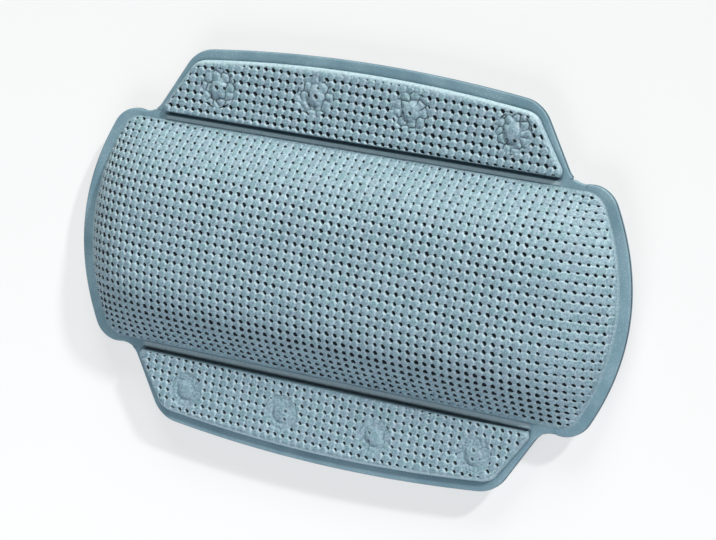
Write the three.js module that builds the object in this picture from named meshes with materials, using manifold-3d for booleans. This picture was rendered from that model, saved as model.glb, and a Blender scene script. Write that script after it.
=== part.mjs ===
// Bath pillow: a foam-filled welded cushion with a folding suction-cup flap along each long side.
// Millimetres, +Z up. It lies on its back on the floor: X runs along its length, one flap is at +Y
// and the other at -Y, and the cups and the flat of the back touch the plane z = 0.
import * as THREE from "three";
import { mergeVertices } from "three/addons/utils/BufferGeometryUtils.js";
import Module from "manifold-3d";

const wasm = await Module();
wasm.setup();

// Outline of the welded sheets
const pillowLength = 330; // tip to tip over the two bowed ends
const pillowWidth = 135; // across the corners of the cushion
const endBow = 19.9; // how far an end bows out past its corners
const cornerRadius = 15.7;
const earLength = 19.6; // a corner of the cushion to the neck where the flap begins
const earRise = 2.2; // how far the corners stand out past the fold lines
const neckRadius = 11;
const flapTaper = 22.5; // how far each end of a flap draws in from its neck to its outer corner
const flapDepth = 38.7; // fold line to the outer corners of a flap
const flapBow = 6.5; // how far a flap's outer edge bows out
const flapRadius = 19.7;

// Levels and sheets
const standHeight = 10; // floor to the underside of the back film
const backFilm = 1;
const borderSheet = 2; // the foamed front sheet where it is pressed flat
const foamSheet = 5; // the same sheet where it is left full
const fitGap = 0.3; // between pieces that lie on each other without a weld

// Crown of the cushion
const crownHeight = 24.9; // above the pressed border
const endBorder = 6.8; // pressed border at the middle of each end
const cornerBorder = 4.4; // pressed border at the corners of each end
const sideBorder = 0.7; // pressed border along each fold
const crownRadius = 12; // corners of the crown's plan
const sideOrder = 3.8; // how long the crown stays level across the pillow
const sideSoftness = 1.3; // how gently it comes down to the folds
const endOrder = 7; // how long the crown stays level along the pillow
const endSoftness = 0.8; // how gently it comes down to the ends
const bellyFlatShare = 0.55; // share of the back that is flat on the floor

// Embossed weave of the crown
const weavePitch = 4.8; // from dimple to dimple of the embossed sheet
const dimpleStep = 3; // one dimple in this many is cut, along and across, to keep the facets few
const dimpleDepth = 1.9;

// Fold lines
const webWidth = 4;
const webThickness = 1.2;

// Raised field and weld spots of a flap
const flapBorder = 6.2; // pressed border round the raised field
const fieldSetback = 0.7; // from the flap's inner edge to the raised field
const fieldInnerRadius = 4;
const fieldBevel = 1.2;
const spotCount = 4;
const spotMargin = 15.25; // an outer corner of the flap to the nearest spot, along the flap
const spotOffset = 22.2; // fold line to the row of spots
const spotRadius = 10.6;
const spotDepth = 0.9;
const spotWall = 1.3; // foam left round the cup's head
const spotSkin = 1.4; // foam left over the cup's head

// Suction cup
const cupRadius = 14;
const lipWidth = 1.4; // flat ring that meets the bath
const lipHeight = 0.8;
const hollowDepth = 3.6;
const hollowShoulder = 2.5; // depth of the hollow half way from its flat to the lip
const hollowFlatRadius = 3;
const neckStemRadius = 3.5;
const headRadius = 5;
const headThickness = 1.5;
const headBevel = 0.6;
const pressTravel = 2; // how far a cup gives when it is pressed on
const stemClearance = 0.5; // round the stem, in the hole of the back film

// Facets
const cornerSteps = 6;
const bowSteps = 12;
const ringPoints = 60;
const roundSteps = 20;
const skirtSteps = 5;
const bevelSteps = 2;
const crownShares = [0.97, 0.92, 0.85, 0.75, 0.62, 0.45, 0.25]; // rings of the crown, edge to middle
const bellySteps = [1, 0.8, 0.55, 0.3, 0]; // rings of the back, edge to the flat
const profileSteps = 200; // points on which a profile's length is measured
const mergeDistance = 1e-4; // vertices nearer than this are one
const roundingShare = 0.98; // the most of an edge that the roundings at its two ends take

// Levels worked out from the sheets
const sheetLevel = standHeight + backFilm; // where the front sheet lies on the back film
const borderTop = sheetLevel + borderSheet;
const fieldTop = sheetLevel + foamSheet;
const foldLevel = (standHeight + borderTop) / 2;
const headBottom = sheetLevel + fitGap;
const headTop = headBottom + headThickness;
const pocketTop = headTop + pressTravel + fitGap;
const shoulderTop = standHeight - pressTravel - fitGap;

// Places in plan worked out from the outline
const foldLine = pillowWidth / 2 - earRise;
const foldInner = foldLine - webWidth / 2;
const foldOuter = foldLine + webWidth / 2;
const ear = new THREE.Vector2(pillowLength / 2 - endBow, pillowWidth / 2);
const neck = new THREE.Vector2(ear.x - earLength, foldLine);
const tip = new THREE.Vector2(neck.x - flapTaper, foldLine + flapDepth);
const earEdge = ear.clone().sub(neck).angle();
const flapEdge = tip.clone().sub(neck).angle();
const neckCut = neckRadius / Math.tan((flapEdge - earEdge) / 2);
const webEnd = neck.x + neckCut * Math.cos(earEdge);
const crownBow = endBow - endBorder + cornerBorder; // how far the crown's ends bow past its corners
const outside = pillowLength + pillowWidth; // a reach past everything, for cutting boxes

const finish = (color, roughness) => new THREE.MeshStandardMaterial({ color, roughness, metalness: 0 });
const foamedSheet = finish(0x8aa6b1, 0.55);
const plainFilm = finish(0x7d99a5, 0.45);
const weldedStrip = finish(0x7896a4, 0.5);
const softFoam = finish(0xe9e4d6, 0.9);
const cupVinyl = finish(0xa9c0c9, 0.25);

// A closed outline through corners given anticlockwise, each with its rounding radius and the bow of
// the edge that leaves it.
function roundedOutline(corners) {
  const edges = corners.map((corner, i) => {
    const next = corners[(i + 1) % corners.length];
    const along = next.at.clone().sub(corner.at);
    const outward = new THREE.Vector2(along.y, -along.x).normalize();
    const pull = corner.at.clone().lerp(next.at, 0.5).addScaledVector(outward, 2 * corner.bow);
    return new THREE.QuadraticBezierCurve(corner.at, pull, next.at);
  });
  const edgeBefore = (i) => edges[(i + corners.length - 1) % corners.length];
  const turns = corners.map((_, i) => Math.acos(edgeBefore(i).getTangent(1).dot(edges[i].getTangent(0))));
  const fullCuts = corners.map((corner, i) => corner.radius * Math.tan(turns[i] / 2));
  const limits = edges.map((edge, i) => {
    const taken = fullCuts[i] + fullCuts[(i + 1) % corners.length];
    return Math.min(1, (roundingShare * edge.getLength()) / taken);
  });
  const roundings = corners.map((corner, i) => {
    const before = edgeBefore(i);
    const after = edges[i];
    const limit = Math.min(limits[i], limits[(i + corners.length - 1) % corners.length]);
    const cut = fullCuts[i] * limit;
    const leave = 1 - cut / before.getLength();
    const join = cut / after.getLength();
    const handle = (4 / 3) * Math.tan(turns[i] / 4) * corner.radius * limit;
    const from = before.getPoint(leave);
    const to = after.getPoint(join);
    const first = from.clone().addScaledVector(before.getTangent(leave), handle);
    const second = to.clone().addScaledVector(after.getTangent(join), -handle);
    return { leave, join, curve: new THREE.CubicBezierCurve(from, first, second, to) };
  });
  const points = [];
  corners.forEach((corner, i) => {
    const next = roundings[(i + 1) % corners.length];
    points.push(...roundings[i].curve.getPoints(cornerSteps));
    const span = next.leave - roundings[i].join;
    for (let step = 1; corner.bow > 0 && step < bowSteps; step += 1) {
      points.push(edges[i].getPoint(roundings[i].join + (span * step) / bowSteps));
    }
  });
  return points;
}

const corner = (x, y, radius, bow = 0) => ({ at: new THREE.Vector2(x, y), radius, bow });

// A rectangle with bowed ends and rounded corners
function bowedRectangle(halfLength, halfWidth, bow, radius) {
  const x = halfLength - bow;
  return roundedOutline([
    corner(x, -halfWidth, radius, bow),
    corner(x, halfWidth, radius),
    corner(-x, halfWidth, radius, bow),
    corner(-x, -halfWidth, radius),
  ]);
}

function wholeOutline() {
  return roundedOutline([
    corner(ear.x, -ear.y, cornerRadius, endBow),
    corner(ear.x, ear.y, cornerRadius),
    corner(neck.x, neck.y, neckRadius),
    corner(tip.x, tip.y, flapRadius, flapBow),
    corner(-tip.x, tip.y, flapRadius),
    corner(-neck.x, neck.y, neckRadius),
    corner(-ear.x, ear.y, cornerRadius, endBow),
    corner(-ear.x, -ear.y, cornerRadius),
    corner(-neck.x, -neck.y, neckRadius),
    corner(-tip.x, -tip.y, flapRadius, flapBow),
    corner(tip.x, -tip.y, flapRadius),
    corner(neck.x, -neck.y, neckRadius),
  ]);
}

// Closed geometry to a solid for joining and cutting, and back
function solidOf(geometry) {
  const bare = geometry.clone();
  bare.deleteAttribute("normal");
  bare.deleteAttribute("uv");
  const merged = mergeVertices(bare, mergeDistance);
  const corners = merged.index.array;
  const triangles = [];
  for (let i = 0; i < corners.length; i += 3) {
    const [a, b, c] = [corners[i], corners[i + 1], corners[i + 2]];
    if (a !== b && b !== c && c !== a) triangles.push(a, b, c);
  }
  const vertProperties = new Float32Array(merged.attributes.position.array);
  const mesh = new wasm.Mesh({ numProp: 3, vertProperties, triVerts: new Uint32Array(triangles) });
  mesh.merge();
  return new wasm.Manifold(mesh);
}

function geometryOf(solid) {
  const mesh = solid.getMesh();
  const geometry = new THREE.BufferGeometry();
  geometry.setAttribute("position", new THREE.BufferAttribute(mesh.vertProperties, 3));
  geometry.setIndex(new THREE.BufferAttribute(mesh.triVerts, 1));
  geometry.computeVertexNormals();
  return geometry;
}

// A flat slab of an outline between two levels
function slab(points, bottom, top) {
  const geometry = new THREE.ExtrudeGeometry(new THREE.Shape(points), {
    depth: top - bottom,
    bevelEnabled: false,
  });
  geometry.translate(0, 0, bottom);
  return solidOf(geometry);
}

function box(x0, x1, y0, y1) {
  const geometry = new THREE.BoxGeometry(x1 - x0, y1 - y0, outside);
  geometry.translate((x0 + x1) / 2, (y0 + y1) / 2, 0);
  return solidOf(geometry);
}

// A turned shape from its radius and level pairs
function turned(profile) {
  const points = profile.map(([radius, level]) => new THREE.Vector2(radius, level));
  const geometry = new THREE.LatheGeometry(points, roundSteps);
  geometry.rotateX(Math.PI / 2);
  return geometry;
}

const disc = (radius, bottom, top) =>
  solidOf(turned([[0, bottom], [radius, bottom], [radius, top], [0, top]]));

// A closed body from rings of points, lowest first, with a fan to the middle of the first and last
function ringStack(rings) {
  const count = rings[0].length;
  const positions = [];
  const triangles = [];
  rings.forEach((ring) => ring.forEach((point) => positions.push(point.x, point.y, point.z)));
  const lowest = rings.length * count;
  const highest = lowest + 1;
  positions.push(0, 0, rings[0][0].z);
  positions.push(0, 0, Math.max(...rings[rings.length - 1].map((point) => point.z)));
  for (let i = 0; i < count; i += 1) {
    const j = (i + 1) % count;
    triangles.push(lowest, j, i);
    for (let level = 0; level < rings.length - 1; level += 1) {
      const low = level * count;
      const high = low + count;
      triangles.push(low + i, low + j, high + j);
      triangles.push(low + i, high + j, high + i);
    }
    const last = (rings.length - 1) * count;
    triangles.push(last + i, last + j, highest);
  }
  const geometry = new THREE.BufferGeometry();
  geometry.setAttribute("position", new THREE.Float32BufferAttribute(positions, 3));
  geometry.setIndex(triangles);
  geometry.computeVertexNormals();
  return geometry;
}

// Plan of the cushion, drawn in by a distance from the foot of the crown
function cushionPlan(inset) {
  const halfLength = pillowLength / 2 - endBorder - inset;
  const halfWidth = foldInner - sideBorder - inset;
  const shape = new THREE.Shape(bowedRectangle(halfLength, halfWidth, crownBow, crownRadius));
  const points = shape.getSpacedPoints(ringPoints).slice(0, ringPoints);
  return { halfLength, halfWidth, points };
}

const ringOf = (plan, share, level) =>
  plan.points.map((p) => new THREE.Vector3(p.x * share, p.y * share, level(p.x * share, p.y * share)));

// Share of the crown's height at a point: level over most of the pillow, blunt at its ends and
// coming down more gently to the folds
function crownShare(plan, x, y) {
  const across = Math.min(1, Math.abs(y) / plan.halfWidth);
  const reach = plan.halfLength - crownBow * across ** 2;
  const along = Math.min(1, Math.abs(x) / reach);
  return (1 - across ** sideOrder) ** sideSoftness * (1 - along ** endOrder) ** endSoftness;
}

function crownRings(plan, base, height) {
  return crownShares.map((share) =>
    ringOf(plan, share, (x, y) => base + height * crownShare(plan, x, y)));
}

// Shares of half a width at which a sheet drawn over a profile is divided evenly, an even number of times
function evenShares(halfWidth, heightAt, spacing) {
  const points = Array.from({ length: profileSteps + 1 }, (_, i) => {
    const place = halfWidth * Math.sin(Math.PI * (i / profileSteps - 0.5));
    return new THREE.Vector2(place, heightAt(place));
  });
  const profile = new THREE.SplineCurve(points);
  profile.arcLengthDivisions = profileSteps;
  const divisions = 2 * Math.round(profile.getLength() / spacing);
  return profile.getSpacedPoints(divisions).map((point) => point.x / halfWidth);
}

// The crown as a grid over its whole plan, with a dimple at every second crossing each way
function dimpledCrown(plan, bottom, base, height) {
  const spacing = weavePitch * dimpleStep;
  const along = evenShares(plan.halfLength, (x) => height * crownShare(plan, x, 0), spacing);
  const across = evenShares(plan.halfWidth, (y) => height * crownShare(plan, 0, y), spacing);
  const columns = along.length;
  const rows = across.length;
  const positions = [];
  const triangles = [];
  across.forEach((t, j) => along.forEach((s, i) => {
    const sunk = i % 2 === 1 && j % 2 === 1 ? dimpleDepth : 0;
    const reach = plan.halfLength - crownBow * t ** 2;
    const share = crownShare(plan, s * reach, t * plan.halfWidth);
    positions.push(s * (reach - sunk), t * (plan.halfWidth - sunk), base + share * (height - sunk));
  }));
  for (let j = 0; j < rows - 1; j += 1) {
    for (let i = 0; i < columns - 1; i += 1) {
      const a = j * columns + i;
      const [b, c, d] = [a + 1, a + 1 + columns, a + columns];
      if ((i + j) % 2 === 0) triangles.push(a, b, d, b, c, d);
      else triangles.push(a, b, c, a, c, d);
    }
  }
  const edge = [];
  for (let i = 0; i < columns - 1; i += 1) edge.push(i);
  for (let j = 0; j < rows - 1; j += 1) edge.push(j * columns + columns - 1);
  for (let i = columns - 1; i > 0; i -= 1) edge.push((rows - 1) * columns + i);
  for (let j = rows - 1; j > 0; j -= 1) edge.push(j * columns);
  const first = rows * columns;
  edge.forEach((k) => positions.push(positions[3 * k], positions[3 * k + 1], bottom));
  const middle = first + edge.length;
  positions.push(0, 0, bottom);
  edge.forEach((k, e) => {
    const next = (e + 1) % edge.length;
    triangles.push(first + e, first + next, edge[next], first + e, edge[next], k);
    triangles.push(middle, first + next, first + e);
  });
  const geometry = new THREE.BufferGeometry();
  geometry.setAttribute("position", new THREE.Float32BufferAttribute(positions, 3));
  geometry.setIndex(triangles);
  return geometry;
}

function bellyRings(plan, base, depth) {
  return bellySteps.map((step) => {
    const share = bellyFlatShare + (1 - bellyFlatShare) * step;
    return ringOf(plan, share, () => base - depth * (1 - step ** 2));
  }).reverse();
}

const outline = wholeOutline();
const beyondFold = box(-webEnd, webEnd, foldInner, outside);
const beforeFold = box(-webEnd, webEnd, -outside, -foldInner);
const cushionSlab = (bottom, top) => slab(outline, bottom, top).subtract(beyondFold).subtract(beforeFold);

// Front cover: the foamed sheet, domed and dimpled over the core and pressed flat at the border
function makeFrontCover() {
  const foot = cushionPlan(0);
  const lining = cushionPlan(foamSheet);
  const crown = solidOf(dimpledCrown(foot, sheetLevel, borderTop, crownHeight));
  const dome = crown.intersect(slab(outline, standHeight, borderTop + crownHeight + foamSheet));
  const hollow = ringStack([
    ringOf(lining, 1, () => standHeight),
    ringOf(lining, 1, () => sheetLevel),
    ...crownRings(lining, sheetLevel, borderTop + crownHeight - foamSheet - sheetLevel),
  ]);
  return geometryOf(cushionSlab(sheetLevel, borderTop).add(dome).subtract(solidOf(hollow)));
}

// Back cover: a plain film with a shallow belly that is flat where it lies on the floor
function makeBackCover() {
  const foot = cushionPlan(foamSheet);
  const lining = cushionPlan(foamSheet + backFilm);
  const belly = ringStack([
    ...bellyRings(foot, standHeight, standHeight),
    ringOf(foot, 1, () => sheetLevel),
  ]);
  const hollow = ringStack([
    ...bellyRings(lining, sheetLevel, standHeight),
    ringOf(lining, 1, () => borderTop),
  ]);
  return geometryOf(cushionSlab(standHeight, sheetLevel).add(solidOf(belly)).subtract(solidOf(hollow)));
}

// Core: soft foam that fills the space between the two covers
function makeCore() {
  const plan = cushionPlan(foamSheet + backFilm + fitGap);
  const height = borderTop + crownHeight - foamSheet - fitGap - sheetLevel;
  return ringStack([
    ...bellyRings(plan, sheetLevel, standHeight - fitGap),
    ...crownRings(plan, sheetLevel, height),
  ]);
}

// Fold web: the two sheets welded into one thin strip that the flap folds on
function makeFoldWeb() {
  const strip = slab(outline, foldLevel - webThickness / 2, foldLevel + webThickness / 2);
  return geometryOf(strip.intersect(box(-webEnd, webEnd, foldInner, foldOuter)));
}

const flapRegion = box(-webEnd, webEnd, foldOuter, outside);
const spotPitch = (2 * (tip.x - spotMargin)) / (spotCount - 1);
const spotPlaces = Array.from({ length: spotCount }, (_, i) => (i - (spotCount - 1) / 2) * spotPitch);
const spotRow = foldLine + spotOffset;

// Plan of the raised field: the flap's plan drawn in by its pressed border
function fieldOutline() {
  const side = tip.clone().sub(neck).normalize();
  const onSide = neck.clone().add(new THREE.Vector2(-side.y, side.x).multiplyScalar(flapBorder));
  const sideAt = (y) => onSide.x + ((y - onSide.y) * side.x) / side.y;
  const inner = foldOuter + fieldSetback;
  const outer = tip.y - flapBorder;
  const bow = flapBow * (sideAt(outer) / tip.x) ** 2;
  const outerRadius = Math.max(flapRadius - flapBorder, fieldInnerRadius);
  return roundedOutline([
    corner(sideAt(inner), inner, fieldInnerRadius),
    corner(sideAt(outer), outer, outerRadius, bow),
    corner(-sideAt(outer), outer, outerRadius),
    corner(-sideAt(inner), inner, fieldInnerRadius),
  ]);
}

// Flap front: the foamed sheet with its raised field, pressed in a ring round each cup's head
function makeFlapFront() {
  const field = new THREE.ExtrudeGeometry(new THREE.Shape(fieldOutline()), {
    depth: foamSheet - 2 * fieldBevel,
    bevelThickness: fieldBevel,
    bevelSize: fieldBevel,
    bevelOffset: -fieldBevel,
    bevelSegments: bevelSteps,
  });
  field.translate(0, 0, sheetLevel + fieldBevel);
  let solid = slab(outline, sheetLevel, borderTop).intersect(flapRegion).add(solidOf(field));
  const pocketRadius = headRadius + fitGap;
  const buttonRadius = pocketRadius + spotWall;
  const recess = disc(spotRadius, fieldTop - spotDepth, fieldTop + foamSheet);
  const button = disc(buttonRadius, sheetLevel, pocketTop + spotSkin);
  const pocket = disc(pocketRadius, standHeight, pocketTop);
  spotPlaces.forEach((x) => {
    solid = solid.subtract(recess.translate([x, spotRow, 0]));
    solid = solid.add(button.translate([x, spotRow, 0]));
    solid = solid.subtract(pocket.translate([x, spotRow, 0]));
  });
  return geometryOf(solid);
}

// Flap back: plain film with a hole for the stem of each cup
function makeFlapBack() {
  let solid = slab(outline, standHeight, sheetLevel).intersect(flapRegion);
  const hole = disc(neckStemRadius + stemClearance, 0, fieldTop);
  spotPlaces.forEach((x) => {
    solid = solid.subtract(hole.translate([x, spotRow, 0]));
  });
  return geometryOf(solid);
}

// Suction cup: lip, thin skirt, stem and the flat head that is caught between the two sheets
function makeCup() {
  const skirt = new THREE.CubicBezierCurve(
    new THREE.Vector2(cupRadius, lipHeight),
    new THREE.Vector2(cupRadius - lipWidth, shoulderTop / 2),
    new THREE.Vector2(cupRadius / 2, shoulderTop),
    new THREE.Vector2(neckStemRadius, shoulderTop),
  );
  return turned([
    [0, hollowDepth],
    [hollowFlatRadius, hollowDepth],
    [(cupRadius - lipWidth + hollowFlatRadius) / 2, hollowShoulder],
    [cupRadius - lipWidth, 0],
    [cupRadius, 0],
    ...skirt.getPoints(skirtSteps).map((point) => [point.x, point.y]),
    [neckStemRadius, headBottom],
    [headRadius, headBottom],
    [headRadius, headTop - headBevel],
    [headRadius - headBevel, headTop],
    [0, headTop],
  ]);
}

function piece(name, geometry, material) {
  const mesh = new THREE.Mesh(geometry, material);
  mesh.name = name;
  return mesh;
}

const webGeometry = makeFoldWeb();
const flapFrontGeometry = makeFlapFront();
const flapBackGeometry = makeFlapBack();
const cupGeometry = makeCup();

// One flap with its fold web and its row of cups
function makeFlap(side) {
  const flap = new THREE.Group();
  flap.add(piece(`${side}_fold_web`, webGeometry, weldedStrip));
  flap.add(piece(`${side}_flap_front`, flapFrontGeometry, foamedSheet));
  flap.add(piece(`${side}_flap_back`, flapBackGeometry, plainFilm));
  spotPlaces.forEach((x, i) => {
    const cup = piece(`${side}_suction_cup_${i + 1}`, cupGeometry, cupVinyl);
    cup.position.set(x, spotRow, 0);
    flap.add(cup);
  });
  return flap;
}

const pillow = new THREE.Group();
pillow.add(piece("front_cover", makeFrontCover(), foamedSheet));
pillow.add(piece("pillow_core", makeCore(), softFoam));
pillow.add(piece("back_cover", makeBackCover(), plainFilm));
pillow.add(makeFlap("upper"));
const lowerFlap = makeFlap("lower");
lowerFlap.rotation.z = Math.PI;
pillow.add(lowerFlap);

export default pillow;
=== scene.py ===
import math

import bmesh
import bpy
import numpy as np
from mathutils import Matrix, Vector


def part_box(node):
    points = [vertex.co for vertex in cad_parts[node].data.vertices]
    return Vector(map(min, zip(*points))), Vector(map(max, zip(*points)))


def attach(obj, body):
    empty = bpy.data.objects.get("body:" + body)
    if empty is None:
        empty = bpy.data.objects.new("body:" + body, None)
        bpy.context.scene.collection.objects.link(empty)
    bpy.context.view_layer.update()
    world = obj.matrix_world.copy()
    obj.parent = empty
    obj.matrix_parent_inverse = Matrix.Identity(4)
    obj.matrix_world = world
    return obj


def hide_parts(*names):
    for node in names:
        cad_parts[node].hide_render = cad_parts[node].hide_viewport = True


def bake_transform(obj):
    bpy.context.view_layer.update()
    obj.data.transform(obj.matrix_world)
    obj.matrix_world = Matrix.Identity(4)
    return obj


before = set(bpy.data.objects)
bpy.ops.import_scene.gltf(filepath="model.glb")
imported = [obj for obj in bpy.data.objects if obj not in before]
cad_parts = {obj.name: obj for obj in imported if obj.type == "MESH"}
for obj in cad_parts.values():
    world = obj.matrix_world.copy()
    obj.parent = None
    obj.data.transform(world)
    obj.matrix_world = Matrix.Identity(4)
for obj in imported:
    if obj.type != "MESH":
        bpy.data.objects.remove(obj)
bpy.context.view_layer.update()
print("frame loaded with", len(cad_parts), "nodes")

mm = 0.001
sides = {"upper": 1, "lower": -1}  # each flap is made as the upper one, and the lower is turned half round

# Levels and limits that the solids give
coverLow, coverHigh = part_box("front_cover")
webLow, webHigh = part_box("upper_fold_web")
halfLength = coverHigh.x
sheetLevel = coverLow.z  # where the foamed sheet lies on the back film
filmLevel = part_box("upper_flap_back")[0].z
foldInner = webLow.y
foldOuter = webHigh.y
foldLine = (foldInner + foldOuter) / 2
webEnd = webHigh.x
borderSheet = 2 * mm
foamSheet = 5 * mm
borderTop = sheetLevel + borderSheet
fieldTop = sheetLevel + foamSheet
crownHeight = coverHigh.z - borderTop

# Outline of the welded sheets
outlineSizes = {
    "halfWidth": 67.5 * mm,
    "endBow": 19.9 * mm,
    "cornerRadius": 15.7 * mm,
    "earLength": 19.6 * mm,
    "neckRadius": 11 * mm,
    "flapTaper": 22.5 * mm,
    "flapDepth": 38.7 * mm,
    "flapBow": 6.5 * mm,
    "flapRadius": 19.7 * mm,
    "cornerSteps": 14,
    "bowSteps": 36,
}


def turnedFor(side, places):
    return places * np.array((sides[side], sides[side], 1))


def unit(vector):
    return vector / np.linalg.norm(vector)


def edgePoint(edge, share):
    start, pull, end = edge
    return (1 - share) ** 2 * start + 2 * share * (1 - share) * pull + share**2 * end


def edgeTangent(edge, share):
    start, pull, end = edge
    return unit((1 - share) * (pull - start) + share * (end - pull))


def edgeLength(edge, samples=60):
    points = np.array([edgePoint(edge, share) for share in np.linspace(0, 1, samples)])
    return np.hypot(*np.diff(points, axis=0).T).sum()


def cubicPoint(a, b, c, d, t):
    return (1 - t) ** 3 * a + 3 * t * (1 - t) ** 2 * b + 3 * t**2 * (1 - t) * c + t**3 * d


# corners run anticlockwise: place, rounding radius, bow of the edge that leaves the corner
def roundedOutline(corners):
    edges = []
    for here, there in zip(corners, corners[1:] + corners[:1]):
        start, end = np.array(here[0]), np.array(there[0])
        along = unit(end - start)
        outward = np.array((along[1], -along[0]))
        edges.append((start, (start + end) / 2 + outward * 2 * here[2], end))
    roundings = []
    for i, (_, radius, _) in enumerate(corners):
        before, after = edges[i - 1], edges[i]
        turn = math.acos(edgeTangent(before, 1) @ edgeTangent(after, 0))
        cut = radius * math.tan(turn / 2)
        leave, join = 1 - cut / edgeLength(before), cut / edgeLength(after)
        handle = 4 / 3 * math.tan(turn / 4) * radius
        first, last = edgePoint(before, leave), edgePoint(after, join)
        pulls = first + edgeTangent(before, leave) * handle, last - edgeTangent(after, join) * handle
        roundings.append((leave, join, (first, *pulls, last)))
    points = []
    for i, (_, _, bow) in enumerate(corners):
        _, join, curve = roundings[i]
        points.extend(cubicPoint(*curve, t) for t in np.linspace(0, 1, outlineSizes["cornerSteps"] + 1))
        if bow:
            shares = np.linspace(join, roundings[(i + 1) % len(corners)][0], outlineSizes["bowSteps"] + 1)
            points.extend(edgePoint(edges[i], share) for share in shares[1:-1])
    return np.array(points)


# half an outline's corners, and the same again turned half round
def bothHalves(corners):
    return corners + [((-x, -y), radius, bow) for (x, y), radius, bow in corners]


def wholeOutline(size):
    ear = (halfLength - size["endBow"], size["halfWidth"])
    neck = (ear[0] - size["earLength"], foldLine)
    tip = (neck[0] - size["flapTaper"], foldLine + size["flapDepth"])
    half = [
        ((ear[0], -ear[1]), size["cornerRadius"], size["endBow"]),
        (ear, size["cornerRadius"], 0),
        (neck, size["neckRadius"], 0),
        (tip, size["flapRadius"], size["flapBow"]),
        ((-tip[0], tip[1]), size["flapRadius"], 0),
        ((-neck[0], neck[1]), size["neckRadius"], 0),
    ]
    return roundedOutline(bothHalves(half))


outline = wholeOutline(outlineSizes)

# The cushion's own part of the outline: the two ends, joined along the folds
endSort = {"slack": 0.01 * mm, "pivot": 20 * mm}
rightEnd = outline[outline[:, 0] > webEnd - endSort["slack"]]
rightEnd = rightEnd[np.argsort(np.arctan2(rightEnd[:, 1], rightEnd[:, 0] - webEnd + endSort["pivot"]))]
rightRun = np.vstack([(webEnd, -foldInner), rightEnd, (webEnd, foldInner)])
cushionOutline = np.vstack([rightRun, -rightRun])


# the part of a ring above a level, closed along that level
def clippedAbove(ring, level):
    kept = []
    for a, b in zip(ring, np.roll(ring, -1, axis=0)):
        if a[1] >= level:
            kept.append(a)
        if (a[1] >= level) != (b[1] >= level):
            kept.append(a + (b - a) * (level - a[1]) / (b[1] - a[1]))
    return np.array(kept)


flapOutline = clippedAbove(outline, foldOuter)
print("outlines:", len(cushionOutline), "points round the cushion,", len(flapOutline), "round a flap")


# distance inside an outline (negative outside) and the nearest point on it
def outlineDistance(points, ring):
    best = np.full(len(points), np.inf)
    nearest = np.zeros((len(points), 2))
    inside = np.zeros(len(points), bool)
    for a, b in zip(ring, np.roll(ring, -1, axis=0)):
        side = b - a
        if side @ side == 0:
            continue
        share = np.clip((points - a) @ side / (side @ side), 0, 1)
        foot = a + share[:, None] * side
        gap = np.hypot(*(points - foot).T)
        closer = gap < best
        best[closer] = gap[closer]
        nearest[closer] = foot[closer]
        if a[1] != b[1]:
            straddles = (a[1] > points[:, 1]) != (b[1] > points[:, 1])
            inside ^= straddles & (points[:, 0] < side[0] * (points[:, 1] - a[1]) / side[1] + a[0])
    return np.where(inside, best, -best), nearest


# how far each point is from a ring, along its own direction, or another length where it doesn't meet it
def reachTo(points, directions, ring, otherwise=np.inf, slack=1e-6):
    reach = np.full(len(points), np.inf)
    for a, b in zip(ring, np.roll(ring, -1, axis=0)):
        side = b - a
        across = directions[:, 0] * side[1] - directions[:, 1] * side[0]
        with np.errstate(divide="ignore", invalid="ignore"):
            gap = a - points
            far = (gap[:, 0] * side[1] - gap[:, 1] * side[0]) / across
            share = (gap[:, 0] * directions[:, 1] - gap[:, 1] * directions[:, 0]) / across
        meets = (np.abs(across) > slack**2) & (share >= -slack) & (share <= 1 + slack) & (far > 0)
        reach = np.where(meets & (far < reach), far, reach)
    return np.where(np.isfinite(reach), reach, otherwise)


def smoothStep(value, low, high):
    share = np.clip((value - low) / (high - low), 0, 1)
    return share * share * (3 - 2 * share)


# Wrapped sockets: sums on them add Math nodes, and node() adds any other node
class Wire:
    def __init__(self, tree, socket=None):
        self.tree = tree
        self.socket = socket

    def feed(self, node, sockets):
        shown = [socket for socket in node.inputs if socket.enabled]
        for key, value in sockets.items():
            target = shown[key] if isinstance(key, int) else next(s for s in shown if s.name == key)
            if isinstance(value, Wire):
                self.tree.links.new(value.socket, target)
            else:
                target.default_value = value

    # out names the output that is wanted: the first if empty, all of them by name if None
    def node(self, kind, settings=None, sockets=None, out=""):
        made = self.tree.nodes.new(kind)
        for name, value in (settings or {}).items():
            setattr(made, name, value)
        self.feed(made, sockets or {})
        wires = {socket.name: Wire(self.tree, socket) for socket in made.outputs if socket.enabled}
        return wires if out is None else wires[out or next(iter(wires))]

    def math(self, operation, *others):
        values = {i: value for i, value in enumerate((self, *others))}
        return self.node("ShaderNodeMath", {"operation": operation}, values)

    def __add__(self, other):
        return self.math("ADD", other)

    def __sub__(self, other):
        return self.math("SUBTRACT", other)

    def __mul__(self, other):
        return self.math("MULTIPLY", other)

    def __truediv__(self, other):
        return self.math("DIVIDE", other)

    def __pow__(self, other):
        return self.math("POWER", other)

    __radd__ = __add__
    __rmul__ = __mul__

    def __rsub__(self, other):
        return self.node("ShaderNodeMath", {"operation": "SUBTRACT"}, {0: other, 1: self})

    def ramp(self, low, high):
        sockets = {"Value": self, "From Min": low, "From Max": high}
        return self.node("ShaderNodeMapRange", {"interpolation_type": "SMOOTHSTEP"}, sockets)

    # noise at this place
    def noise(self, scale, detail=2.0, roughness=0.5):
        sockets = {"Vector": self, "Scale": scale, "Detail": detail, "Roughness": roughness}
        return self.node("ShaderNodeTexNoise", {}, sockets)

    # this share of the way from one colour to another
    def mix(self, first, second):
        return self.node("ShaderNodeMix", {"data_type": "RGBA"}, {"Factor": self, "A": first, "B": second})

    # normals bent by this height
    def bump(self, strength, depth):
        return self.node("ShaderNodeBump", {}, {"Strength": strength, "Distance": depth, "Height": self})


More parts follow.
